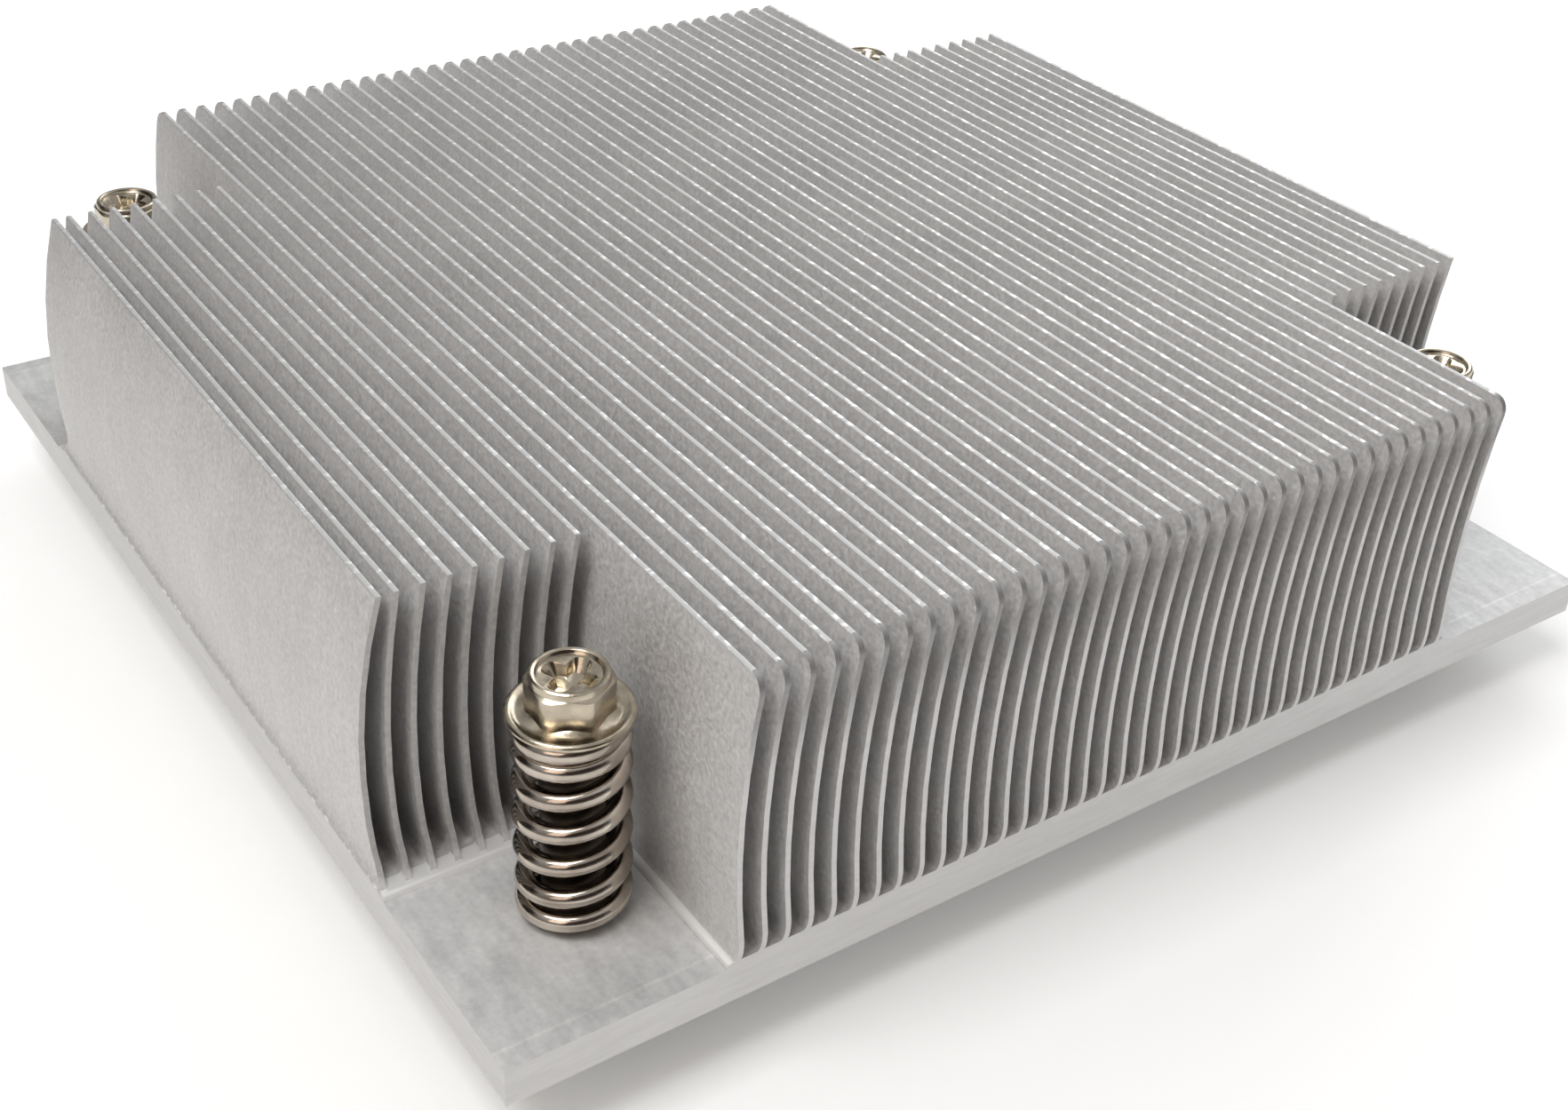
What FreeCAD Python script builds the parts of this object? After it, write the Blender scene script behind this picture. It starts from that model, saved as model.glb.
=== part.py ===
import FreeCAD, Part
import math
import os
from FreeCAD import Vector

# Passive heatsink for the processor of a one-unit server: a block of skived aluminium fins with a notch
# at each corner, and in each notch a captive screw that a coil spring holds up and a clip holds in.
# Millimetres, +Z up. The origin is the centre of the base's underside, the face that meets the
# processor. The fins run along Y and are stacked along X.

# Base and fins
hole_spacing = 75.0         # screw to screw, along X and along Y
edge_distance = 10.0        # screw axis to the nearest base edges
plate_thickness = 3.4       # base under the gaps between the fins
body_height = 24.0          # base underside to fin tops
fin_pitch_wanted = 1.70     # the fins then share out the base's width evenly
fin_thickness = 0.45
fin_foot_height = 1.2       # the curl at the root, where the blade lifted the fin
fin_foot_curl = 0.20        # how far it undercuts the fin's +X face
fin_foot_sag = 0.2          # hollow of the curl, as a share of its reach
fin_belly_share = 0.412     # how far up a fin bulges most to -X
fin_root_lean = 0.33        # how far its root stands to +X of that bulge
fin_top_lean = 1.25         # how far its top stands to +X of that bulge
first_fin_bend = 0.6        # how much further the outermost fin is bent in, with none beside it
fin_end_chamfer = 1.0       # top corners of the full-length fins, front and rear

# Corner notches
notch_step = 0.4            # milled floor below the floor of the gaps
notch_end_room = 4.1        # screw flange to the cut fin ends
notch_side_room = 1.2       # least distance from the screw flange to the first full-length fin
notch_side_gap = 0.15       # what the cutter leaves beside the root of that fin
notch_end_radius = 2.2      # rounding that the cutter leaves under the cut fin ends
notch_side_radius = 0.4
cutter_overrun = 1.0        # how far a cutter reaches past the block

# Screws
shank_diameter = 4.0
shank_clearance = 0.25      # all round, in the hole of the base
flange_overhang = 0.25      # flange past the spring, all round
flange_rim = 0.5            # height of the flange's edge
flange_lip = 0.3            # width of that edge, which stands up round the flange
flange_hollow = 0.12
head_height = 3.05          # flange underside to head top
head_sides = 6
head_flats = 5.0
head_corners = 5.4          # across the rounded corners of the hexagon
head_top_share = 0.9        # circle inside the hexagon's chamfer, of the width across flats
head_chamfer_angle = 30.0
head_lip = 0.25             # width of the ring round the hollow top of the head
head_hollow = 0.2
recess_span = 3.3           # cross recess for the driver, across the wings
recess_wing = 0.9
recess_depth = 1.6
recess_taper = 0.75         # how far the end of a wing slopes in on the way down
recess_turn = 30.0          # from the flats of the hexagon to the wings
shoulder_stand_out = 0.2    # shank below the base, before the thread
thread_diameter = 3.0
thread_length = 4.8
thread_point = 0.5          # chamfer at the tip

# Springs
spring_length = 14.8        # notch floor to screw flange, as held
spring_clearance = 0.45     # shank to wire
wire_diameter = 1.2
low_half_count = 2          # half turns of wire that lie close together, at the bottom
high_half_count = 3         # and at the top
open_half_count = 9
closed_gap = 0.06
ground_share = 0.35         # of the wire, ground off flat at each end
seat_gap = 0.02             # between flat faces that bear on each other

# Retaining clips
clip_bearing = 1.15         # clip past the shank, all round
clip_thickness = 0.6
clip_mouth = 1.9            # the open side that is pushed over the screw
clip_relief = 0.7           # radius of the hollows between the three prongs
groove_depth = 0.85
groove_clearance = 0.05
pocket_spare = 0.4          # depth of the pocket under the clip, so that the clip clears the contact face
pocket_clearance = 0.75     # all round the clip

# Sizes that follow
base_side = hole_spacing + 2 * edge_distance
half_base = base_side / 2
half_fin = fin_thickness / 2
fin_span = base_side - fin_thickness - fin_top_lean
fin_count = 1 + round(fin_span / fin_pitch_wanted)
fin_pitch = fin_span / (fin_count - 1)
foot_top = plate_thickness + fin_foot_height
belly_height = foot_top + fin_belly_share * (body_height - foot_top)
shank_radius = shank_diameter / 2
spring_radius = shank_radius + spring_clearance + wire_diameter
flange_radius = spring_radius + flange_overhang
notch_floor = plate_thickness - notch_step
notch_length = edge_distance + flange_radius + notch_end_room
notch_fins = math.ceil((edge_distance + flange_radius + notch_side_room) / fin_pitch)
flange_bottom = notch_floor + spring_length
pocket_depth = clip_thickness + pocket_spare
clip_radius = shank_radius + clip_bearing
clip_top = pocket_depth - seat_gap
clip_bottom = clip_top - clip_thickness
groove_radius = shank_radius - groove_depth
corners = {
    "front_left": (-1, -1),
    "front_right": (1, -1),
    "rear_left": (-1, 1),
    "rear_right": (1, 1),
}


def line(a, b):
    return Part.LineSegment(a, b).toShape()


def arc(a, middle, b):
    return Part.Arc(a, middle, b).toShape()


def flat(points):
    """A face from the corners of its outline."""
    return Part.Face(Part.makePolygon(points + points[:1]))


def turned(points):
    """A solid of revolution about Z from a closed outline of (radius, height) points."""
    return flat([Vector(r, 0, z) for r, z in points]).revolve(Vector(0, 0, 0), Vector(0, 0, 1), 360)


def box(low, high):
    size = high - low
    return Part.makeBox(size.x, size.y, size.z, low)


def spun(shape, angle):
    """A copy turned about Z."""
    copy = shape.copy()
    copy.rotate(Vector(0, 0, 0), Vector(0, 0, 1), angle)
    return copy


# Heatsink body: base and fins are one piece, each fin shaved up from the same block
def fin_face(number, side):
    """Root, belly and top of one face of a fin; side is -1 for its -X face and 1 for its +X face."""
    x = -half_base + half_fin + number * fin_pitch + side * half_fin
    bend = first_fin_bend if number == 0 else 0
    root = Vector(x + fin_root_lean, 0, foot_top)
    belly = Vector(x, 0, belly_height)
    top = Vector(x + fin_top_lean + bend, 0, body_height)
    return root, belly, top


def foot_arc(root, reach):
    """The curl from a fin's face down to the floor of the gap, reach to -X of it."""
    floor = Vector(root.x - reach, 0, plate_thickness)
    middle = (root + floor) / 2 + Vector(fin_foot_sag * reach, 0, 0)
    return arc(root, middle, floor), floor


def comb():
    """Base and all fins, as one outline across the fins drawn out along their length."""
    low_left = Vector(-half_base, 0, 0)
    low_right = Vector(half_base, 0, 0)
    last = Vector(half_base, 0, plate_thickness)
    edges = [line(low_left, low_right), line(low_right, last)]
    for number in reversed(range(fin_count)):
        right_root, right_belly, right_top = fin_face(number, 1)
        left_root, left_belly, left_top = fin_face(number, -1)
        right_foot, right_floor = foot_arc(right_root, fin_foot_curl)
        left_foot, left_floor = foot_arc(left_root, fin_root_lean)
        edges += [line(last, right_floor), right_foot, arc(right_root, right_belly, right_top)]
        edges += [line(right_top, left_top), arc(left_top, left_belly, left_root), left_foot]
        last = left_floor
    edges.append(line(last, low_left))
    outline = Part.Wire(Part.__sortEdges__(edges))
    outline.translate(Vector(0, -half_base, 0))
    return Part.Face(outline).extrude(Vector(0, base_side, 0))


def notch_cutter(side_x, side_y):
    """What is milled out of one corner: fin ends rounded off into the floor, the next fin left whole."""
    number = notch_fins if side_x < 0 else fin_count - 1 - notch_fins
    root, belly, top = (p + Vector(side_x * notch_side_gap, 0, 0) for p in fin_face(number, side_x))
    outside = side_x * (half_base + cutter_overrun)
    above = body_height + cutter_overrun
    turn = notch_side_radius
    bend = turn * (1 - math.sqrt(0.5))
    far_low = Vector(outside, 0, notch_floor)
    near_low = Vector(root.x + side_x * turn, 0, notch_floor)
    near_bend = Vector(root.x + side_x * bend, 0, notch_floor + bend)
    near_side = Vector(root.x, 0, notch_floor + turn)
    near_high = Vector(top.x, 0, above)
    far_high = Vector(outside, 0, above)
    edges = [line(far_low, near_low), arc(near_low, near_bend, near_side), line(near_side, root)]
    edges += [arc(root, belly, top), line(top, near_high), line(near_high, far_high), line(far_high, far_low)]
    start = side_y * (half_base + cutter_overrun)
    end = side_y * (half_base - notch_length)
    outline = Part.Wire(edges)
    outline.translate(Vector(0, start, 0))
    cutter = Part.Face(outline).extrude(Vector(0, end - start, 0))
    return cutter.cut(end_rounding(end, side_y))


def end_rounding(end, side_y):
    """What the cutter leaves in the corner between the floor and the cut fin ends."""
    radius = notch_end_radius
    inner = end + side_y * radius
    half = half_base + cutter_overrun
    low = Vector(-half, min(inner, end), notch_floor)
    high = Vector(half, max(inner, end), notch_floor + radius)
    rounding = Part.makeCylinder(radius, 2 * half, Vector(-half, inner, high.z), Vector(1, 0, 0))
    return box(low, high).cut(rounding)


def end_chamfer(side_y):
    """What comes off the top corners of the full-length fins at one end."""
    reach = fin_end_chamfer + 2 * cutter_overrun
    corner = Vector(-half_base, side_y * (half_base + cutter_overrun), body_height + cutter_overrun)
    face = flat([corner, corner - Vector(0, side_y * reach, 0), corner - Vector(0, 0, reach)])
    return face.extrude(Vector(base_side, 0, 0))


def heatsink_body():
    cuts = [end_chamfer(-1), end_chamfer(1)]
    for side_x, side_y in corners.values():
        centre = Vector(side_x * hole_spacing / 2, side_y * hole_spacing / 2, 0)
        cuts.append(notch_cutter(side_x, side_y))
        cuts.append(Part.makeCylinder(shank_radius + shank_clearance, plate_thickness, centre))
        cuts.append(Part.makeCylinder(clip_radius + pocket_clearance, pocket_depth, centre))
    return comb().cut(cuts)


# Captive screw: one turned and forged piece, a hollow-topped hexagon with a cross recess on a flange
def driver_recess(top):
    """Two crossed wings that narrow towards the bottom."""
    half = recess_span / 2
    narrow = half - recess_taper
    mouth = top + cutter_overrun
    floor = top - recess_depth
    outline = [(-half, mouth), (half, mouth), (half, top), (narrow, floor), (-narrow, floor), (-half, top)]
    wing = flat([Vector(x, -recess_wing / 2, z) for x, z in outline]).extrude(Vector(0, recess_wing, 0))
    return spun(wing.fuse(spun(wing, 90)), recess_turn)


def screw():
    rim_top = flange_bottom + flange_rim
    rim_inside = flange_radius - flange_lip
    head_top = flange_bottom + head_height
    thread_radius = thread_diameter / 2
    thread_top = -shoulder_stand_out
    tip = thread_top - thread_length
    groove_low = clip_bottom - seat_gap
    groove_high = clip_top + seat_gap
    shaft = turned([
        (0, tip), (thread_radius - thread_point, tip), (thread_radius, tip + thread_point),
        (thread_radius, thread_top), (shank_radius, thread_top), (shank_radius, groove_low),
        (groove_radius, groove_low), (groove_radius, groove_high), (shank_radius, groove_high),
        (shank_radius, flange_bottom), (flange_radius, flange_bottom), (flange_radius, rim_top),
        (rim_inside, rim_top), (rim_inside - flange_hollow, rim_top - flange_hollow),
        (0, rim_top - flange_hollow),
    ])
    step = 360 / head_sides
    corner = Part.Vertex(head_flats / 2 / math.cos(math.pi / head_sides), 0, flange_bottom)
    outline = [spun(corner, (number + 0.5) * step).Point for number in range(head_sides)]
    hexagon = flat(outline).extrude(Vector(0, 0, head_height))
    wide = head_corners / 2
    crown_radius = head_top_share * head_flats / 2
    drop = (wide - crown_radius) * math.tan(math.radians(head_chamfer_angle))
    crown = turned([
        (0, flange_bottom), (wide, flange_bottom), (wide, head_top - drop), (crown_radius, head_top),
        (0, head_top),
    ])
    hollow = Part.makeCylinder(crown_radius - head_lip, head_hollow, Vector(0, 0, head_top - head_hollow))
    head = hexagon.common(crown).cut([hollow, driver_recess(head_top)])
    return shaft.fuse(head).removeSplitter()


# Coil spring: round wire, closed and ground flat at both ends
def half_turn(start, rise):
    """Half a turn of wire from a point of the coil: an arc tilted so that it leaves and arrives level."""
    out = Vector(start.x, start.y, 0)
    along = Vector(-out.y, out.x, 0)
    end = start - 2 * out + Vector(0, 0, rise)
    centre = (start + end) / 2
    axis = (start - centre).cross(along)
    section = Part.Face(Part.Wire(Part.makeCircle(wire_diameter / 2, start, along)))
    return section.revolve(centre, axis, 180), end


def spring():
    low = notch_floor + seat_gap
    high = flange_bottom - seat_gap
    inset = (0.5 - ground_share) * wire_diameter
    closed_rise = (wire_diameter + closed_gap) / 2
    closed_count = round(low_half_count + high_half_count)
    open_count = round(open_half_count)
    open_rise = (high - low - 2 * inset - closed_count * closed_rise) / open_count
    rises = [closed_rise] * round(low_half_count) + [open_rise] * open_count
    rises += [closed_rise] * (closed_count - round(low_half_count))
    point = Vector(spring_radius - wire_diameter / 2, 0, low + inset)
    pieces = []
    for rise in rises:
        piece, point = half_turn(point, rise)
        pieces.append(piece)
    coil = pieces[0].fuse(pieces[1:])
    reach = 2 * spring_radius
    return coil.common(box(Vector(-reach, -reach, low), Vector(reach, reach, high)))


# Retaining clip: a flat stamping with three prongs that snap into the groove of the screw
def clip():
    bore = groove_radius + groove_clearance
    bottom = Vector(0, 0, clip_bottom)
    plate = Part.makeCylinder(clip_radius, clip_thickness, bottom)
    mouth = box(Vector(-clip_mouth / 2, -2 * clip_radius, clip_bottom), Vector(clip_mouth / 2, 0, clip_top))
    middle = Part.makeCylinder(bore, clip_thickness, bottom)
    hollow = Part.makeCylinder(clip_relief, clip_thickness, bottom + Vector(bore, 0, 0))
    return plate.cut([middle, mouth, spun(hollow, 45), spun(hollow, 135)])


os.makedirs("parts", exist_ok=True)
heatsink_body().exportStep("parts/heatsink_body.step")
for make in (screw, spring, clip):
    piece = make()
    for corner, (side_x, side_y) in corners.items():
        placed = piece.translated(Vector(side_x * hole_spacing / 2, side_y * hole_spacing / 2, 0))
        placed.exportStep(f"parts/{make.__name__}_{corner}.step")
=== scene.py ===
import math

import bmesh
import bpy
from mathutils import Matrix, Vector, noise


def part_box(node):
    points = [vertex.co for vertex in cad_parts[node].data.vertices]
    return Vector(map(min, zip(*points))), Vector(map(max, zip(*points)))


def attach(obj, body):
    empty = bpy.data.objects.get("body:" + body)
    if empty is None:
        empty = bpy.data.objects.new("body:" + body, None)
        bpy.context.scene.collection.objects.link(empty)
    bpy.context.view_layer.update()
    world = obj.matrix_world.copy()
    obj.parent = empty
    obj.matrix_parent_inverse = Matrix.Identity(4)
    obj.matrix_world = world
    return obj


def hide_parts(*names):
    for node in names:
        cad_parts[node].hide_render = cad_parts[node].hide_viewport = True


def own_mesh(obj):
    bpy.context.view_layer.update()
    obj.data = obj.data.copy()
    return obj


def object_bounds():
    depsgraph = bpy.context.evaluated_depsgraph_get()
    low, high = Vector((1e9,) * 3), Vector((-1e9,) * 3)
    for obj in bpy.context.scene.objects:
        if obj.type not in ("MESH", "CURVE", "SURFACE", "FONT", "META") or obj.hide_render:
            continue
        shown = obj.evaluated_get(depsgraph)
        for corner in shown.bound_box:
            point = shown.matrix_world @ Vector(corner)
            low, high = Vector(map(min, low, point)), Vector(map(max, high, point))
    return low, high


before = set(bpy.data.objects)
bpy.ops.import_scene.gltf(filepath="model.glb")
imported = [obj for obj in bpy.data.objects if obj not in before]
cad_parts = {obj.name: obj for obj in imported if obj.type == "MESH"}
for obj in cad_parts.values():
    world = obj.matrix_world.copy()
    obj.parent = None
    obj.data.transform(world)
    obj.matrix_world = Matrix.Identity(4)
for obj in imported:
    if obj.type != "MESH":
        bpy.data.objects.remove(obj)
cad_low, cad_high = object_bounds()

# Heatsink body: base plate and fins, all of one block of soft aluminium. A blade shaves each fin up
# from the block and stands it on end, so it bulges to one side and leans over at the top. The corner
# notches, the holes for the screws and the pockets under them are milled out afterwards.
mm = 0.001
body_low, body_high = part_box("heatsink_body")
base_half = body_high.y
base_chamfer = 0.2 * mm
gap_floor = 3.4 * mm
fin_top = body_high.z
fin_count = 56
fin_root = 0.45 * mm          # thickness the fins are spaced by
fin_thickness = 0.38 * mm
fin_edge = 0.06 * mm          # worn rounding of the top edges
edge_turn = 0.3               # share of it left standing at the middle of the rounding
foot_top = 4.6 * mm
foot_curl = 0.20 * mm         # how far the root is undercut on its +X side
belly = 12.6 * mm             # height at which a fin bulges most to -X
root_lean = 0.33 * mm         # how far its root stands to +X of that bulge
top_lean = 1.25 * mm          # how far its top does
face_steps = 6                # straight parts that stand for a curved face
sill_in = 0.08 * mm           # ragged step at the foot of the first fin
sill_up = 0.06 * mm
sill_down = 0.1 * mm

fin_pitch = (2 * base_half - fin_root - top_lean) / (fin_count - 1)
first_fin = -base_half + fin_root / 2
low_rise = foot_top - belly
high_rise = fin_top - belly
bow = (top_lean / high_rise - root_lean / low_rise) / (high_rise - low_rise)
tilt = top_lean / high_rise - bow * high_rise


def fin_line(z):
    """How far the middle of a fin stands to +X of its bulge."""
    rise = max(z, foot_top) - belly
    return bow * rise ** 2 + tilt * rise


def fin_outline(number):
    """One fin from the gap floor on its +X side, over the top, to the gap floor on its -X side."""
    x = first_fin + number * fin_pitch
    half = fin_thickness / 2
    face_height = fin_top - fin_edge - foot_top
    foot = [(1.0, 0), (0.5, 0.15 * mm), (0.2, 0.45 * mm), (0.05, 0.85 * mm)]
    faces = [foot_top + step / face_steps * face_height for step in range(face_steps + 1)]
    right = [(x + root_lean + half - share * foot_curl, gap_floor + rise) for share, rise in foot]
    right += [(x + fin_line(z) + half, z) for z in faces]
    left = [(x + root_lean - half - share * root_lean, gap_floor + rise) for share, rise in foot]
    left += [(x + fin_line(z) - half, z) for z in faces]
    turn = edge_turn * fin_edge
    crown = [(x + top_lean + half - turn, fin_top - turn), (x + top_lean + half - fin_edge, fin_top)]
    crown += [(x + top_lean - half + fin_edge, fin_top), (x + top_lean - half + turn, fin_top - turn)]
    return right + crown + left[::-1]


def drawn_out(mesh, outline, y_start, y_end):
    """A closed outline of (x, z) points in the mesh, extruded along Y; gives the end face."""
    start = mesh.faces.new([mesh.verts.new((x, y_start, z)) for x, z in outline])
    moved = bmesh.ops.extrude_face_region(mesh, geom=[start])["geom"]
    end = next(part for part in moved if isinstance(part, bmesh.types.BMFace))
    bmesh.ops.translate(mesh, verts=end.verts, vec=(0, y_end - y_start, 0))
    return end


def as_object(name, mesh):
    """The finished bmesh as an object at the origin, normals outward."""
    bmesh.ops.remove_doubles(mesh, verts=mesh.verts, dist=0.0005 * mm)
    bmesh.ops.recalc_face_normals(mesh, faces=mesh.faces)
    data = bpy.data.meshes.new(name)
    mesh.to_mesh(data)
    mesh.free()
    piece = bpy.data.objects.new(name, data)
    bpy.context.collection.objects.link(piece)
    return piece


def cut_away(piece, cutter):
    """Takes the cutter's shape out of the piece, and the cutter out of the scene."""
    modifier = piece.modifiers.new("cut", "BOOLEAN")
    modifier.object = cutter
    modifier.operation = "DIFFERENCE"
    modifier.solver = "EXACT"
    shape = piece.evaluated_get(bpy.context.evaluated_depsgraph_get())
    data = bpy.data.meshes.new_from_object(shape)
    piece.modifiers.clear()
    piece.data = data
    bpy.data.objects.remove(cutter)


comb = bmesh.new()
comb_outline = [(base_half - base_chamfer, 0), (base_half, base_chamfer), (base_half, gap_floor)]
for number in reversed(range(fin_count)):
    comb_outline += fin_outline(number)
comb_outline[-1] = (-base_half + sill_in, gap_floor + sill_up)
comb_outline += [(-base_half, gap_floor - sill_down), (-base_half, base_chamfer)]
comb_outline += [(-base_half + base_chamfer, 0)]
drawn_out(comb, comb_outline, -base_half, base_half)
body = as_object("skived_body", comb)

# The notches follow the side of the first full-length fin, and the cutter runs out in a curve under the
# cut fin ends. Both curves are in millimetres: side_foot out and up, run_out before the end and up.
corners = {"front_left": (-1, -1), "front_right": (1, -1), "rear_left": (-1, 1), "rear_right": (1, 1)}
short_fins = 9                # on each side, cut back to make room for the screws
overrun = 1.0 * mm            # how far a cutter reaches past the block
notch_floor = 3.0 * mm
notch_end = base_half - 18.0 * mm
notch_side_gap = 0.15 * mm    # what the cutter leaves beside the fin
side_foot = [(0.72, -0.4), (0.65, -0.2), (0.5, -0.05), (0.3, 0), (0.1, 0.03), (0, 0.3)]
side_heights = (foot_top, 8 * mm, belly, 17 * mm, 21 * mm, fin_top + overrun)
run_out = [(2.2, 0), (2.08, 0.06), (1.9, 0.28), (1.76, 0.37), (1.4, 0.44)]
run_out += [(1.0, 0.6), (0.6, 0.95), (0.3, 1.5), (0.1, 2.1), (0, 2.8)]
run_out_start = notch_end + run_out[0][0] * mm
notches = bmesh.new()
for side_x, side_y in corners.values():
    number = short_fins if side_x < 0 else fin_count - 1 - short_fins
    beside = first_fin + number * fin_pitch + side_x * (fin_thickness / 2 + notch_side_gap)
    outside = side_x * (base_half + overrun)
    wall = [(beside + root_lean + side_x * out * mm, gap_floor + up * mm) for out, up in side_foot]
    wall += [(beside + fin_line(z), z) for z in side_heights]
    outline = [(outside, notch_floor)] + wall + [(outside, fin_top + overrun)]
    end = drawn_out(notches, outline, side_y * (base_half + overrun), side_y * run_out_start)
    for before, up in run_out[1:]:
        end = bmesh.ops.extrude_discrete_faces(notches, faces=[end])["faces"][0]
        for vert in end.verts:
            vert.co.y = side_y * (notch_end + before * mm)
            vert.co.z = max(vert.co.z, notch_floor + up * mm)
cut_away(body, as_object("notch_cutters", notches))

# Then the top corners of the full-length fins are rounded, the lower edges of the base broken, and the
# screw holes drilled with the clip pockets under them.
end_radius = 1.2 * mm
corner_steps = 6
edge_reach = base_chamfer + overrun
hole_radius = 2.25 * mm
hole_sides = 48
pocket_radius = 3.9 * mm
pocket_depth = 1.0 * mm
drills = bmesh.new()
for side_y in (-1, 1):
    corner = []
    for step in range(corner_steps + 1):
        angle = step / corner_steps * math.pi / 2
        y = base_half - end_radius * (1 - math.sin(angle))
        corner.append((y, fin_top - end_radius * (1 - math.cos(angle))))
    corner += [(base_half + overrun, corner[-1][1]), (base_half + overrun, fin_top + overrun)]
    corner += [(corner[0][0], fin_top + overrun)]
    edge = [(base_half - edge_reach, -overrun), (base_half + overrun, -overrun)]
    edge += [(base_half + overrun, edge_reach)]
    for outline in (corner, edge):
        points = [drills.verts.new((-base_half - overrun, side_y * y, z)) for y, z in outline]
        moved = bmesh.ops.extrude_face_region(drills, geom=[drills.faces.new(points)])["geom"]
        moved = [part for part in moved if isinstance(part, bmesh.types.BMVert)]
        bmesh.ops.translate(drills, verts=moved, vec=(2 * (base_half + overrun), 0, 0))
for corner in corners:
    low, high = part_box("screw_" + corner)
    centre = (low + high) / 2
    bore = [(0, -overrun), (pocket_radius, -overrun), (pocket_radius, pocket_depth)]
    bore += [(hole_radius, pocket_depth), (hole_radius, notch_floor + overrun)]
    bore += [(0, notch_floor + overrun)]
    points = [drills.verts.new((centre.x + radius, centre.y, z)) for radius, z in bore]
    edges = [drills.edges.new(pair) for pair in zip(points, points[1:])]
    bmesh.ops.spin(drills, geom=points + edges, cent=(centre.x, centre.y, 0), axis=(0, 0, 1),
                   angle=math.tau, steps=hole_sides, use_merge=True)
cut_away(body, as_object("drills", drills))

# No two fins stand quite alike: each leans and sways a little along its length, and its top is ragged.
hair = 0.01 * mm              # tolerance by which faces are told apart
slices = 38                   # along the fins
sway = 0.07 * mm
sway_wave = 30 * mm
sway_growth = 1.5             # power by which the sway grows with height
own_lean = 1.4                # of a whole fin, against the waves along it
still_height = 0.05           # share of the height under which nothing moves
burr = 0.05 * mm
burr_wave = 1.5 * mm
first_fin_bend = 0.6 * mm     # the outermost fin is bent in further
seed_step = 5.37              # from one fin to the next, in the noise
lean_seed = 9.1
burr_seed = 4.2
body_mesh = bmesh.new()
body_mesh.from_mesh(body.data)
for number in range(1, slices):
    y = -base_half + number * 2 * base_half / slices
    upper = [face for face in body_mesh.faces
             if all(vert.co.z > gap_floor - hair for vert in face.verts)]
    parts = dict.fromkeys(part for face in upper for part in (*face.verts, *face.edges))
    bmesh.ops.bisect_plane(body_mesh, geom=upper + list(parts), plane_co=(0, y, 0), plane_no=(0, 1, 0))
for vert in body_mesh.verts:
    x, y, z = vert.co
    height = (z - gap_floor) / (fin_top - gap_floor)
    if height < still_height:
        continue
    number = round((x - fin_line(z) - first_fin) / fin_pitch)
    seed = number * seed_step
    push = noise.noise((seed, y / sway_wave, 0)) + own_lean * noise.noise((seed, 0, lean_seed))
    x += sway * push * height ** sway_growth
    if number == 0 and z > belly:
        x += first_fin_bend * ((z - belly) / high_rise) ** 2
    vert.co.x = min(max(x, body_low.x), body_high.x)
    if z > fin_top - 2 * fin_edge:
        vert.co.z -= burr * (0.5 + 0.5 * noise.noise((seed, y / burr_wave, burr_seed)))

# Each face takes the finish of the tool that made it.
SKIVED, SHEARED, SAWN, MILLED, LAPPED = range(5)
notch_left_side = -32.2 * mm
notch_right_side = 31.6 * mm
margin = 0.1 * mm
top_band = 0.2 * mm
body_crease = math.radians(35)
body_mesh.normal_update()
for face in body_mesh.faces:
    middle = face.calc_center_median()
    normal = face.normal
    off_the_middle = not notch_left_side < middle.x < notch_right_side
    in_notch = off_the_middle and abs(middle.y) > notch_end - margin
    face.smooth = True
    if normal.z < -0.9 and middle.z < pocket_depth + margin:
        face.material_index = LAPPED
    elif in_notch and middle.z < gap_floor + margin and normal.z > 0.1:
        face.material_index = MILLED
    elif middle.x < -base_half + margin and abs(middle.z - gap_floor) < margin:
        face.material_index = SHEARED
    elif middle.z < gap_floor - hair:
        face.material_index = SAWN
    elif abs(middle.y) > base_half - end_radius and abs(normal.x) < 0.5:
        face.material_index = SAWN
    elif normal.z > 0.5 and middle.z > fin_top - top_band:
        face.material_index = SHEARED
    else:
        face.material_index = SKIVED
body_mesh.to_mesh(body.data)
body_mesh.free()
body.data.set_sharp_from_angle(angle=body_crease)


def srgb(code):
    """A written colour such as #C0C0C0 as the linear colour of a shader socket."""
    parts = [int(code[i:i + 2], 16) / 255 for i in (1, 3, 5)]
    return [c / 12.92 if c <= 0.04045 else ((c + 0.055) / 1.055) ** 2.4 for c in parts] + [1]


def add(tree, kind, inputs=(), **settings):
    """A node with its settings; an input is given a value, or another node's output to link to."""
    made = tree.nodes.new(kind)
    for name, value in settings.items():
        setattr(made, name, value)
    for name, value in dict(inputs).items():
        if isinstance(value, bpy.types.NodeSocket):
            tree.links.new(value, made.inputs[name])
        else:
            made.inputs[name].default_value = value
    return made


def new_material(name):
    """A material with its shader, object coordinates and nothing else yet."""
    material = bpy.data.materials.new(name)
    material.use_nodes = True
    tree = material.node_tree
    shader = tree.nodes["Principled BSDF"]
    place = add(tree, "ShaderNodeTexCoord").outputs["Object"]
    return material, tree, shader, place


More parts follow.
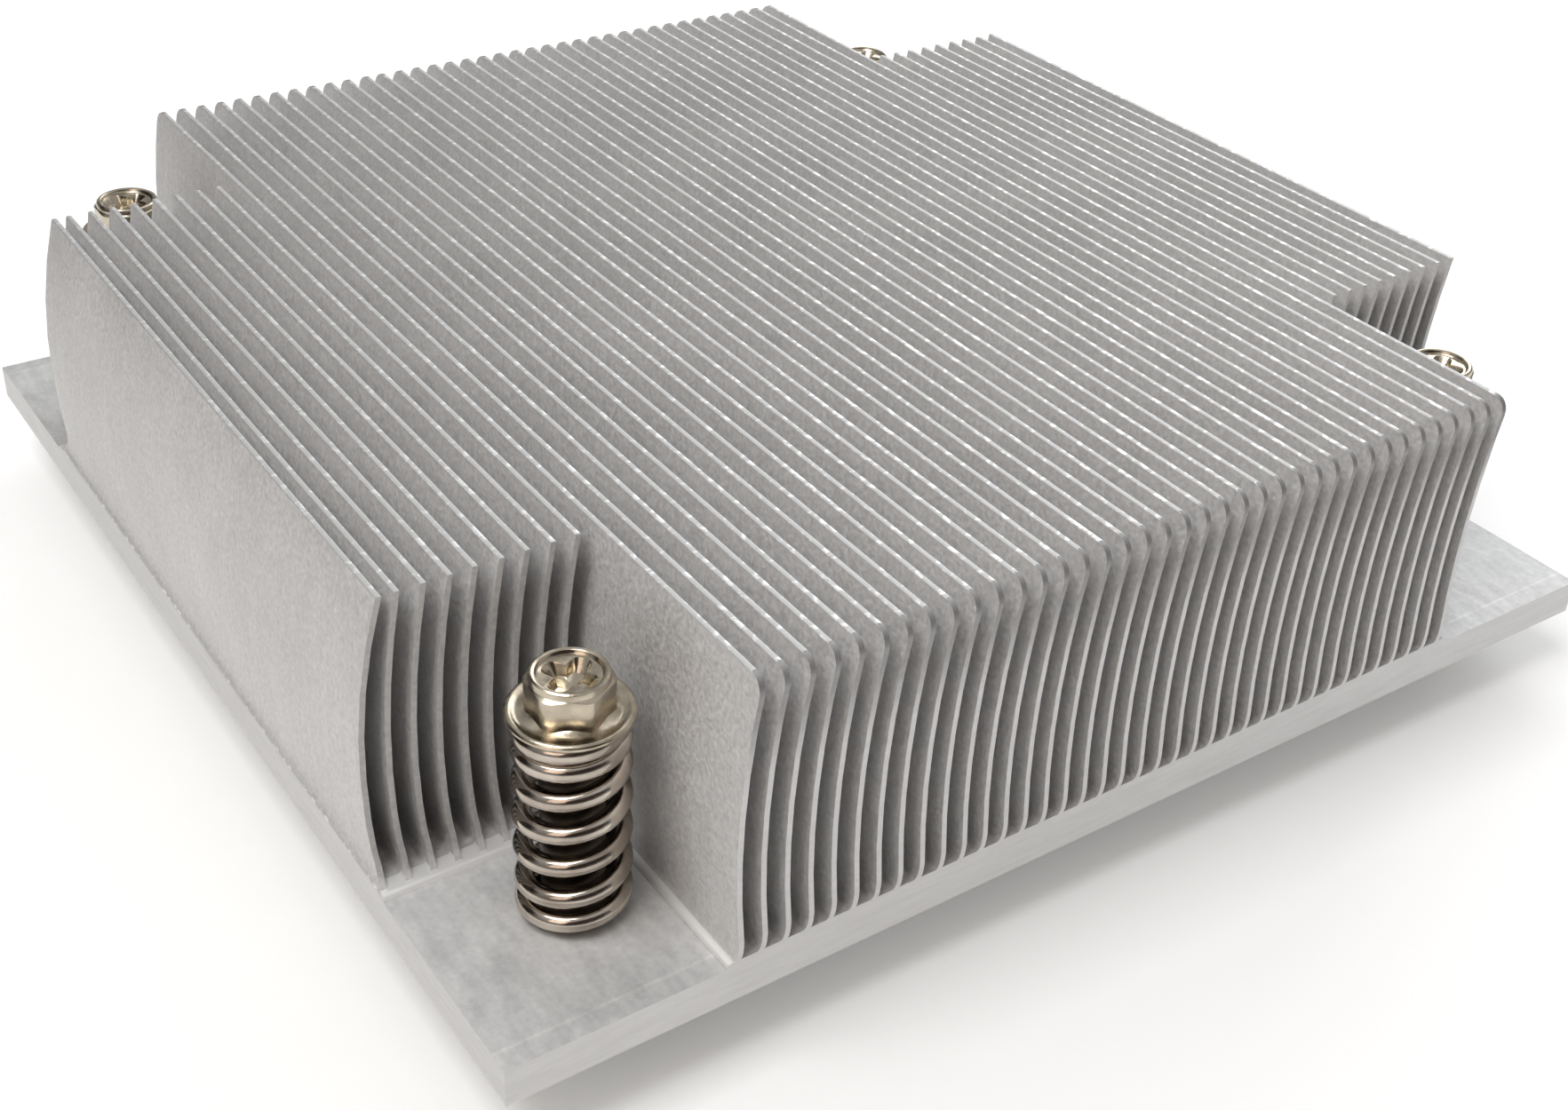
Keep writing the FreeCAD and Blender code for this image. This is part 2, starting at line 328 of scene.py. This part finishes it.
def dress(tree, shader, tone, colours, rough, bump):
    """A metal whose colour, roughness and fine relief each follow a pattern."""
    pattern_low, pattern_high = 0.3, 0.7      # noise seldom leaves this range
    ramp = add(tree, "ShaderNodeValToRGB", {"Fac": tone})
    stops = ramp.color_ramp.elements
    stops[0].position, stops[1].position = pattern_low, pattern_high
    stops[0].color, stops[1].color = srgb(colours[0]), srgb(colours[1])
    pattern, smooth, dull = rough
    dullness = add(tree, "ShaderNodeMapRange",
                   {"Value": pattern, "From Min": pattern_low, "From Max": pattern_high,
                    "To Min": smooth, "To Max": dull})
    pattern, strength, depth = bump
    relief = add(tree, "ShaderNodeBump", {"Height": pattern, "Strength": strength, "Distance": depth})
    tree.links.new(ramp.outputs["Color"], shader.inputs["Base Color"])
    tree.links.new(dullness.outputs["Result"], shader.inputs["Roughness"])
    tree.links.new(relief.outputs["Normal"], shader.inputs["Normal"])
    shader.inputs["Metallic"].default_value = 1


# Skived aluminium: the blade leaves a dull frosted face with a grain like fine sand and very faint
# streaks up the fin, so it scatters light evenly with a soft sheen. The grain is drawn coarser than the
# real one, so that it shows.
skived, tree, shader, place = new_material("skived_aluminium")
grain = add(tree, "ShaderNodeTexNoise",
            {"Vector": place, "Scale": 1 / (0.33 * mm), "Detail": 3}).outputs["Fac"]
stretch = add(tree, "ShaderNodeMapping", {"Vector": place, "Scale": (1, 1, 0.06)}).outputs["Vector"]
streak = add(tree, "ShaderNodeTexNoise",
             {"Vector": stretch, "Scale": 1 / (0.8 * mm), "Detail": 3}).outputs["Fac"]
cloud = add(tree, "ShaderNodeTexNoise",
            {"Vector": place, "Scale": 1 / (9 * mm), "Detail": 2}).outputs["Fac"]
spread = add(tree, "ShaderNodeMix", {"Factor": 0.15, "A": grain, "B": streak}).outputs["Result"]
tone = add(tree, "ShaderNodeMix", {"Factor": 0.2, "A": spread, "B": cloud}).outputs["Result"]
dress(tree, shader, tone, ("#CBCAC9", "#E8E7E6"), (grain, 0.72, 0.88), (spread, 0.6, 0.08 * mm))

# Sheared aluminium: the fin tops, pale torn edges with a burr. Where the burr pattern peaks they are
# painted lighter, each spot a painted glint, and smoother there. The burrs are drawn coarser than they
# are, so that each glint shows.
sheared, tree, shader, place = new_material("sheared_aluminium")
burrs = add(tree, "ShaderNodeTexNoise",
            {"Vector": place, "Scale": 1 / (0.7 * mm), "Detail": 2}).outputs["Fac"]
# Painted glint: lighter colour, and lower roughness, where the burr pattern peaks.
burr_painted_glints = add(tree, "ShaderNodeMapRange",
             {"Value": burrs, "From Min": 0.47, "From Max": 0.72}).outputs["Result"]
dress(tree, shader, burr_painted_glints, ("#D0D0CF", "#F0F0EF"), (burr_painted_glints, 0.66, 0.52), (burrs, 0.28, 0.1 * mm))

# Sawn aluminium: the sides of the base and the front and rear edges of the full-length fins, bright, with
# lines along the cut, drawn coarser than the saw's. Towards the rounded top corners they are painted
# darker, as painted shade.
painted_shade_from = 17 * mm
painted_shade_to = 22.5 * mm
sawn, tree, shader, place = new_material("sawn_aluminium")
along = add(tree, "ShaderNodeMapping", {"Vector": place, "Scale": (0.1, 0.1, 1)}).outputs["Vector"]
lines = add(tree, "ShaderNodeTexNoise",
            {"Vector": along, "Scale": 1 / (0.35 * mm), "Detail": 3}).outputs["Fac"]
fine = add(tree, "ShaderNodeTexNoise",
           {"Vector": place, "Scale": 1 / (0.4 * mm), "Detail": 3}).outputs["Fac"]
marks = add(tree, "ShaderNodeMix", {"Factor": 0.5, "A": lines, "B": fine}).outputs["Result"]
height = add(tree, "ShaderNodeSeparateXYZ", {"Vector": place}).outputs["Z"]
# Painted shade: the colour gets darker towards the rounded top corners.
painted_shade_tone = add(tree, "ShaderNodeMapRange",
            {"Value": height, "From Min": painted_shade_from, "From Max": painted_shade_to,
             "To Min": 0.7, "To Max": 0.1}).outputs["Result"]
tone = add(tree, "ShaderNodeMix", {"Factor": 0.3, "A": painted_shade_tone, "B": marks}).outputs["Result"]
dress(tree, shader, tone, ("#A2A1A0", "#DAD9D8"), (fine, 0.5, 0.65), (lines, 0.2, 0.03 * mm))

# Milled aluminium: the notch floors, satin, with rows of mottling left where the fins were rooted, and a
# faint pale line along the open edge. The step round the floor is painted lighter, as a painted
# highlight.
painted_highlight_low = notch_floor + 0.03 * mm
painted_highlight_high = notch_floor + 0.2 * mm
line_place = base_half - 1.5 * mm
line_half = 0.12 * mm
milled, tree, shader, place = new_material("milled_aluminium")
along = add(tree, "ShaderNodeMapping", {"Vector": place, "Scale": (1, 0.3, 0.3)}).outputs["Vector"]
rows = add(tree, "ShaderNodeTexNoise",
           {"Vector": along, "Scale": 1 / (0.9 * mm), "Detail": 3}).outputs["Fac"]
fine = add(tree, "ShaderNodeTexNoise",
           {"Vector": place, "Scale": 1 / (0.4 * mm), "Detail": 3}).outputs["Fac"]
cloud = add(tree, "ShaderNodeTexNoise",
            {"Vector": place, "Scale": 1 / (5 * mm), "Detail": 3}).outputs["Fac"]
spread = add(tree, "ShaderNodeMix", {"Factor": 0.6, "A": fine, "B": rows}).outputs["Result"]
even = add(tree, "ShaderNodeMix", {"Factor": 0.35, "A": spread, "B": cloud}).outputs["Result"]
position = add(tree, "ShaderNodeSeparateXYZ", {"Vector": place}).outputs
# Painted highlight: the step just above the notch floor is lighter in colour.
painted_highlight = add(tree, "ShaderNodeMapRange",
              {"Value": position["Z"], "From Min": painted_highlight_low, "From Max": painted_highlight_high,
               "To Max": 0.28}).outputs["Result"]
inset = add(tree, "ShaderNodeMath", {0: position["Y"]}, operation="ABSOLUTE").outputs["Value"]
line = add(tree, "ShaderNodeMath",
           {0: inset, 1: line_place, 2: line_half}, operation="COMPARE").outputs["Value"]
faint = add(tree, "ShaderNodeMath", {0: line, 1: rows}, operation="MULTIPLY").outputs["Value"]
marked = add(tree, "ShaderNodeMath",
             {0: faint, 1: 0.16, 2: even}, operation="MULTIPLY_ADD").outputs["Value"]
tone = add(tree, "ShaderNodeMath", {0: marked, 1: painted_highlight}).outputs["Value"]
dress(tree, shader, tone, ("#C8C8C8", "#F0F0EF"), (cloud, 0.64, 0.76), (spread, 0.4, 0.06 * mm))

# Lapped aluminium: the contact face, ground flat and smooth, with long straight scratches one way, drawn
# coarser than the grit's so that they show.
lapped, tree, shader, place = new_material("lapped_aluminium")
along = add(tree, "ShaderNodeMapping", {"Vector": place, "Scale": (0.01, 1, 1)}).outputs["Vector"]
lines = add(tree, "ShaderNodeTexNoise",
            {"Vector": along, "Scale": 1 / (0.25 * mm), "Detail": 4}).outputs["Fac"]
dress(tree, shader, lines, ("#C4C3C1", "#DEDDDB"), (lines, 0.2, 0.36), (lines, 0.15, 0.01 * mm))

for material in (skived, sheared, sawn, milled, lapped):
    body.data.materials.append(material)
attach(body, "heatsink")
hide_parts("heatsink_body")

# Captive screws: steel, turned and forged in one piece and nickel plated. A hexagon with a hollow top and
# a cross recess stands on a flange with a raised rim; below come the shank, the groove for the clip and a
# fine thread.
screw_low, screw_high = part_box("screw_front_left")
clip_low, clip_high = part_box("clip_front_left")
tip, head_top = screw_low.z, screw_high.z
turns_around = 96             # points on each ring
screw_crease = math.radians(32)
thread_radius = 1.5 * mm
thread_pitch = 0.5 * mm
thread_depth = 0.27 * mm
thread_start = 0.45 * mm      # above the tip
thread_top = -0.2 * mm
thread_flank = 1.35           # slope of the flanks, which leaves a flat crest
rings_per_pitch = 8
rings_of_run_out = 6          # over which the thread fades away
shank_radius = 2.0 * mm
shoulder_radius = 1.9 * mm
shoulder_height = 0.1 * mm
groove_radius = 1.15 * mm
groove_play = 0.02 * mm
flange_bottom = head_top - 3.05 * mm
flange_radius = 3.9 * mm
flange_fillet = 0.15 * mm
rim_half_width = 0.28 * mm
rim_half_height = 0.25 * mm
rim_angles = [math.radians(degrees) for degrees in range(-75, 120, 30)]
head_flats = 5.0 * mm
head_corners = 5.4 * mm
corner_hardness = 40
recess_turn = math.radians(30)
recess_hardness = 6
recess_floor_radius = 0.45 * mm
recess_floor_depth = 1.2 * mm


def lesser(a, b, hardness):
    """The smaller of two lengths, with the change from one to the other rounded off."""
    return (a ** -hardness + b ** -hardness) ** (-1 / hardness)


def round_ring(radius, z):
    """A plain circle."""
    return lambda angle: (radius, z)


def hexagon_ring(z, drop):
    """A hexagon with a flat at angle 0 and rounded corners, which hang lower than the flats."""
    def ring(angle):
        off = (angle + math.pi / 6) % (math.pi / 3) - math.pi / 6
        radius = lesser(head_flats / 2 / math.cos(off), head_corners / 2, corner_hardness)
        return radius, z - drop * (radius - head_flats / 2)
    return ring


def recess_ring(reach, half_width, z):
    """The outline of a cross with rounded wings."""
    def ring(angle):
        off = (angle - recess_turn + math.pi / 4) % (math.pi / 2) - math.pi / 4
        return lesser(reach, half_width / max(abs(math.sin(off)), 0.01), recess_hardness), z
    return ring


def thread_ring(z, fade):
    """A cut through the thread at one height: its crest winds once round the axis in one pitch."""
    def ring(angle):
        turn = (z / thread_pitch - angle / math.tau) % 1
        crest = 1 - abs(2 * turn - 1)
        return thread_radius - thread_depth * fade * (1 - min(1, thread_flank * crest)), z
    return ring


def screw_rings():
    """Every ring of the screw from the tip to the bottom of the recess; the profiles are in mm."""
    point = [(0.95, 0), (1.05, 0.03)]
    rings = [round_ring(radius * mm, tip + up * mm) for radius, up in point]
    count = round((thread_top - tip - thread_start) / (thread_pitch / rings_per_pitch))
    for step in range(count + 1):
        z = tip + thread_start + step * thread_pitch / rings_per_pitch
        rings.append(thread_ring(z, min(1, (count - step) / rings_of_run_out)))
    groove_low, groove_high = clip_low.z - groove_play, clip_high.z + groove_play
    shank = [(shoulder_radius, thread_top), (shank_radius, thread_top + shoulder_height)]
    shank += [(shank_radius, groove_low), (groove_radius, groove_low)]
    shank += [(groove_radius, groove_high), (shank_radius, groove_high)]
    shank += [(shank_radius, flange_bottom - flange_fillet)]
    shank += [(shank_radius + flange_fillet, flange_bottom)]
    rings += [round_ring(radius, z) for radius, z in shank]
    for angle in rim_angles:
        radius = flange_radius - rim_half_width + rim_half_width * math.cos(angle)
        z = flange_bottom + rim_half_height + rim_half_height * math.sin(angle)
        rings.append(round_ring(radius, z))
    hollow = [(3.42, 0.42), (3.3, 0.385), (3.05, 0.38), (2.82, 0.42)]
    rings += [round_ring(radius * mm, flange_bottom + up * mm) for radius, up in hollow]
    hexagon_foot = [(0.62, 1.1), (0.7, 1.1)]
    rings += [hexagon_ring(flange_bottom + up * mm, drop) for up, drop in hexagon_foot]
    hexagon_chamfer = [(0.54, 0.577), (0.5, 0.65)]
    rings += [hexagon_ring(head_top - down * mm, drop) for down, drop in hexagon_chamfer]
    crown = [(2.42, 0.44), (2.41, 0.2), (2.36, 0.07), (2.25, 0), (2.15, 0), (2.05, 0.06)]
    crown += [(1.98, 0.2), (1.9, 0.28)]
    rings += [round_ring(radius * mm, head_top - down * mm) for radius, down in crown]
    recess = [(1.75, 0.7, 0.3), (1.66, 0.63, 0.4), (1.2, 0.5, 1.05)]
    rings += [recess_ring(reach * mm, half * mm, head_top - down * mm) for reach, half, down in recess]
    return rings + [round_ring(recess_floor_radius, head_top - recess_floor_depth)]


def screw_mesh(centre):
    """The rings joined one to the next, with both ends closed."""
    mesh = bmesh.new()
    ring = bmesh.ops.create_circle(mesh, segments=turns_around, radius=1)["verts"]
    edges = mesh.edges[:]
    angles = [math.atan2(vert.co.y, vert.co.x) for vert in ring]
    mesh.faces.new(ring[::-1])
    for number, shape in enumerate(screw_rings()):
        if number:
            moved = bmesh.ops.extrude_edge_only(mesh, edges=edges)["geom"]
            edges = [part for part in moved if isinstance(part, bmesh.types.BMEdge)]
            ring = [part for part in moved if isinstance(part, bmesh.types.BMVert)]
            angles = [math.atan2(vert.co.y - centre.y, vert.co.x - centre.x) for vert in ring]
        for vert, angle in zip(ring, angles):
            radius, z = shape(angle)
            vert.co = (centre.x + radius * math.cos(angle), centre.y + radius * math.sin(angle), z)
    bmesh.ops.edgeloop_fill(mesh, edges=edges)
    for face in mesh.faces:
        face.smooth = True
    return mesh


# Nickel plate: thin, slightly yellow and satin, it mirrors softly and blurs where the forging shows
# through. The finest relief is drawn coarser than it is, so that it shows.
nickel, tree, shader, place = new_material("nickel_plated_steel")
skin = add(tree, "ShaderNodeTexNoise",
           {"Vector": place, "Scale": 1 / (1.2 * mm), "Detail": 4}).outputs["Fac"]
fine = add(tree, "ShaderNodeTexNoise",
           {"Vector": place, "Scale": 1 / (0.3 * mm), "Detail": 2}).outputs["Fac"]
dress(tree, shader, skin, ("#A59B89", "#CEC3B0"), (skin, 0.14, 0.28), (fine, 0.2, 0.04 * mm))

# Shank inside the spring: the shank turns there, and its colour is painted dark with a little mottling,
# as painted shade between the coils.
shank_shade_material, tree, shader, place = new_material("shank_painted_shade")
painted_shade_mottle = add(tree, "ShaderNodeTexNoise",
            {"Vector": place, "Scale": 1 / (1.5 * mm), "Detail": 4}).outputs["Fac"]
dress(tree, shader, painted_shade_mottle, ("#3E3731", "#6A6056"), (painted_shade_mottle, 0.3, 0.5), (painted_shade_mottle, 0.2, 0.05 * mm))

for corner in corners:
    low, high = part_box("screw_" + corner)
    centre = (low + high) / 2
    screw = as_object("captive_screw_" + corner, screw_mesh(centre))
    screw.data.set_sharp_from_angle(angle=screw_crease)
    screw.data.materials.append(nickel)
    screw.data.materials.append(shank_shade_material)
    # The shank's faces inside the spring take the dark painted shade.
    for face in screw.data.polygons:
        off_axis = (face.center - centre).to_2d().length
        shaded_in_spring = 0 < face.center.z < flange_bottom
        face.material_index = int(off_axis < shank_radius + hair and shaded_in_spring)
    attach(screw, "screw_" + corner)
    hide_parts("screw_" + corner)

# Coil springs: round spring-steel wire wound right-handed round each screw, with close turns at both ends
# that are ground flat, one on the notch floor and one under the flange.
wire_radius = 0.65 * mm
wire_sides = 16
coil_radius = 3.0 * mm
quarter_steps = 10
ground_off = 0.35             # of the wire, at each end
close_quarters_low = 4
close_quarters_high = 6
open_quarters = 18
close_pitch = 1.33 * mm
spring_crease = math.radians(40)


def spring_mesh(centre, low, high):
    """A ring of wire swept round the axis a quarter turn at a time, each quarter with its own rise."""
    mesh = bmesh.new()
    start = low + (1 - 2 * ground_off) * wire_radius
    rise = high - low - 2 * (1 - 2 * ground_off) * wire_radius
    close = close_pitch / 4
    weights = [0.0] * close_quarters_low
    weights += [0.5] + [1.0] * (open_quarters - 2) + [0.5]
    weights += [0.0] * close_quarters_high
    extra = (rise - close * len(weights)) / sum(weights)
    on_end = Matrix.Rotation(math.pi / 2, 4, "X")
    turn = Matrix.Translation((centre.x + coil_radius, centre.y, start)) @ on_end
    ring = bmesh.ops.create_circle(mesh, segments=wire_sides, radius=wire_radius, matrix=turn)["verts"]
    mesh.faces.new(ring)
    parts = ring + mesh.edges[:]
    for weight in weights:
        lift = (close + weight * extra) / quarter_steps
        swept = bmesh.ops.spin(mesh, geom=parts, cent=centre, axis=(0, 0, 1), dvec=(0, 0, lift),
                               angle=math.pi / 2, steps=quarter_steps)
        parts = swept["geom_last"]
    mesh.faces.new([part for part in parts if isinstance(part, bmesh.types.BMVert)])
    for vert in mesh.verts:
        vert.co.z = min(max(vert.co.z, low), high)
    for face in mesh.faces:
        face.smooth = True
    return mesh


# Spring steel: drawn bright, it mirrors its surroundings sharply, with a brown cast left by the
# tempering. The marks of the drawing are coarser than the real ones, so that they show.
steel, tree, shader, place = new_material("spring_steel")
heat = add(tree, "ShaderNodeTexNoise",
           {"Vector": place, "Scale": 1 / (3 * mm), "Detail": 3}).outputs["Fac"]
drawn = add(tree, "ShaderNodeTexNoise",
            {"Vector": place, "Scale": 1 / (0.25 * mm), "Detail": 2}).outputs["Fac"]
dress(tree, shader, heat, ("#968B80", "#D0C6BA"), (drawn, 0.1, 0.2), (drawn, 0.05, 0.02 * mm))

for corner in corners:
    low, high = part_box("spring_" + corner)
    middle = (low + high) / 2
    axis_foot = Vector((middle.x, middle.y, 0))
    spring = as_object("coil_spring_" + corner, spring_mesh(axis_foot, low.z, high.z))
    spring.data.set_sharp_from_angle(angle=spring_crease)
    spring.data.materials.append(steel)
    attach(spring, "heatsink")
    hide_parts("spring_" + corner)
    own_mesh(spring)

# Retaining clips: flat stampings of hardened steel with three prongs, snapped into the groove of each
# screw inside the pocket under the base. They keep the shape of the solids. The phosphate on them is dark
# and crystalline, with crystals drawn coarser than they are.
phosphate, tree, shader, place = new_material("phosphated_spring_steel")
crystals = add(tree, "ShaderNodeTexNoise",
               {"Vector": place, "Scale": 1 / (0.2 * mm), "Detail": 3}).outputs["Fac"]
dress(tree, shader, crystals, ("#4C4A48", "#6E6B68"), (crystals, 0.4, 0.6), (crystals, 0.2, 0.02 * mm))
for corner in corners:
    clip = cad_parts["clip_" + corner]
    for number in range(len(clip.data.materials)):
        clip.data.materials[number] = phosphate

# Floor: a wide sheet of matt white card just under the screw tips. What the camera and the reflections
# see of it is lifted a little, so that it stays pale round the shadow.
floor_half = 1.5
floor_lift = 0.1
ground = bmesh.new()
bmesh.ops.create_grid(ground, x_segments=1, y_segments=1, size=floor_half)
bmesh.ops.translate(ground, verts=ground.verts, vec=(0, 0, cad_low.z))
floor = as_object("floor", ground)
card, tree, shader, _ = new_material("white_card")
shader.inputs["Base Color"].default_value = srgb("#FAFAF9")
shader.inputs["Roughness"].default_value = 0.9
rays = add(tree, "ShaderNodeLightPath").outputs
seen = add(tree, "ShaderNodeMath",
           {0: rays["Is Camera Ray"], 1: rays["Is Glossy Ray"]}, operation="MAXIMUM").outputs["Value"]
seen = add(tree, "ShaderNodeMath",
           {0: seen, 1: rays["Is Transmission Ray"]}, operation="MAXIMUM").outputs["Value"]
lift = add(tree, "ShaderNodeMath", {0: seen, 1: floor_lift}, operation="MULTIPLY").outputs["Value"]
shader.inputs["Emission Color"].default_value = srgb("#FFFFFF")
tree.links.new(lift, shader.inputs["Emission Strength"])
floor.data.materials.append(card)


# Dark cards, a large one behind the camera and a small one at the left: the steel, the fin ends and the
# outermost fin have something dark to mirror. They fade out towards their edges, throw no shadow and show
# in reflections only.
def dark_card(name, place, turn, half_width, half_height, colour):
    """An upright sheet that faces -Y before it is turned."""
    sheet = bmesh.new()
    upright = Matrix.Translation(place) @ Matrix.Rotation(turn, 4, "Z")
    lifted = Matrix.Rotation(math.pi / 2, 4, "X") @ Matrix.Diagonal((half_width, half_height, 1, 1))
    bmesh.ops.create_grid(sheet, x_segments=1, y_segments=1, size=1, matrix=upright @ lifted)
    flag = as_object(name, sheet)
    flag.visible_camera = False
    flag.visible_shadow = False
    flag.visible_diffuse = False
    felt, tree, shader, spot = new_material(name + "_felt")
    shader.inputs["Base Color"].default_value = srgb(colour)
    shader.inputs["Roughness"].default_value = 1
    shares = add(tree, "ShaderNodeMapping",
                 {"Vector": spot, "Location": place, "Rotation": (0, 0, turn),
                  "Scale": (half_width, 1, half_height)}, vector_type="TEXTURE").outputs["Vector"]
    off = add(tree, "ShaderNodeVectorMath", {0: shares}, operation="LENGTH").outputs["Value"]
    fade = add(tree, "ShaderNodeMapRange",
               {"Value": off, "From Min": 0.6, "From Max": 1, "To Min": 1, "To Max": 0})
    tree.links.new(fade.outputs["Result"], shader.inputs["Alpha"])
    flag.data.materials.append(felt)


dark_card("card_behind_camera", place=(-0.18, -0.4, 0.24), turn=0,
          half_width=0.5, half_height=0.24, colour="#3A2F2A")
dark_card("card_at_left", place=(-0.12, 0.07, 0.06), turn=math.radians(45),
          half_width=0.11, half_height=0.085, colour="#2C2521")

# Studio light: a pale room, brighter at the horizon and overhead than between, and four soft boxes: the
# main one high at the left, a broad one behind at the right, a small warm one low at the left and a weak
# one above.
room_tones = [(0, 0.5), (0.2, 0.24), (0.8, 0.56)]     # how far up, and how bright
room = bpy.data.worlds.new("pale_room")
bpy.context.scene.world = room
room.use_nodes = True
tree = room.node_tree
direction = add(tree, "ShaderNodeTexCoord").outputs["Generated"]
height = add(tree, "ShaderNodeSeparateXYZ", {"Vector": direction}).outputs["Z"]
glow = add(tree, "ShaderNodeValToRGB", {"Fac": height})
glow.color_ramp.elements.new(room_tones[1][0])
for stop, (up, strength) in zip(glow.color_ramp.elements, room_tones):
    stop.position = up
    stop.color = (strength, strength, strength, 1)
tree.nodes["Background"].inputs["Color"].default_value = srgb("#FFFFFF")
tree.links.new(glow.outputs["Color"], tree.nodes["Background"].inputs["Strength"])


def soft_box(name, place, size, power, colour):
    """A square area lamp that faces the heatsink."""
    lamp = bpy.data.lights.new(name, "AREA")
    lamp.size = size
    lamp.energy = power
    lamp.color = srgb(colour)[:3]
    holder = bpy.data.objects.new(name, lamp)
    bpy.context.collection.objects.link(holder)
    holder.location = place
    holder.visible_camera = False
    holder.rotation_euler = (-Vector(place)).to_track_quat("-Z", "Y").to_euler()


soft_box("soft_box_above", place=(0.4, 0.16, 0.68), size=0.35, power=0.2, colour="#FFFFFF")
soft_box("soft_box_behind", place=(0.47, 0.34, 0.33), size=0.4, power=1.45, colour="#FAFCFF")
soft_box("soft_box_left", place=(-0.27, -0.145, 0.195), size=0.16, power=0.105, colour="#FFE4D0")
soft_box("soft_box_upper_left", place=(-0.25, -0.04, 0.54), size=0.3, power=1.66, colour="#FFFFFF")

# Camera: where the photograph was taken from, worked out from the corners of the base and the fins. The
# centre of the view is off the middle of the picture, which the shift makes up for.
image_width = 1765
image_height = 1250
focal_pixels = 2282.7
centre_x = 923.5
centre_y = 566.3
eye = (-81.786 * mm, -120.092 * mm, 91.579 * mm)
right = Vector((0.819679, -0.570642, 0.049939))
down = Vector((-0.270325, -0.462211, -0.844562))
forward = Vector((0.505025, 0.678770, -0.533124))
look = bpy.data.cameras.new("camera")
look.sensor_width = 36
look.lens = focal_pixels / image_width * look.sensor_width
look.shift_x = (image_width / 2 - centre_x) / image_width
look.shift_y = (centre_y - image_height / 2) / image_width
look.clip_start = 0.01
look.clip_end = 10
camera = bpy.data.objects.new("camera", look)
bpy.context.collection.objects.link(camera)
turned = Matrix((right, -down, -forward)).transposed().to_4x4()
camera.matrix_world = Matrix.Translation(eye) @ turned
bpy.context.scene.camera = camera
bpy.context.scene.view_settings.view_transform = "Standard"
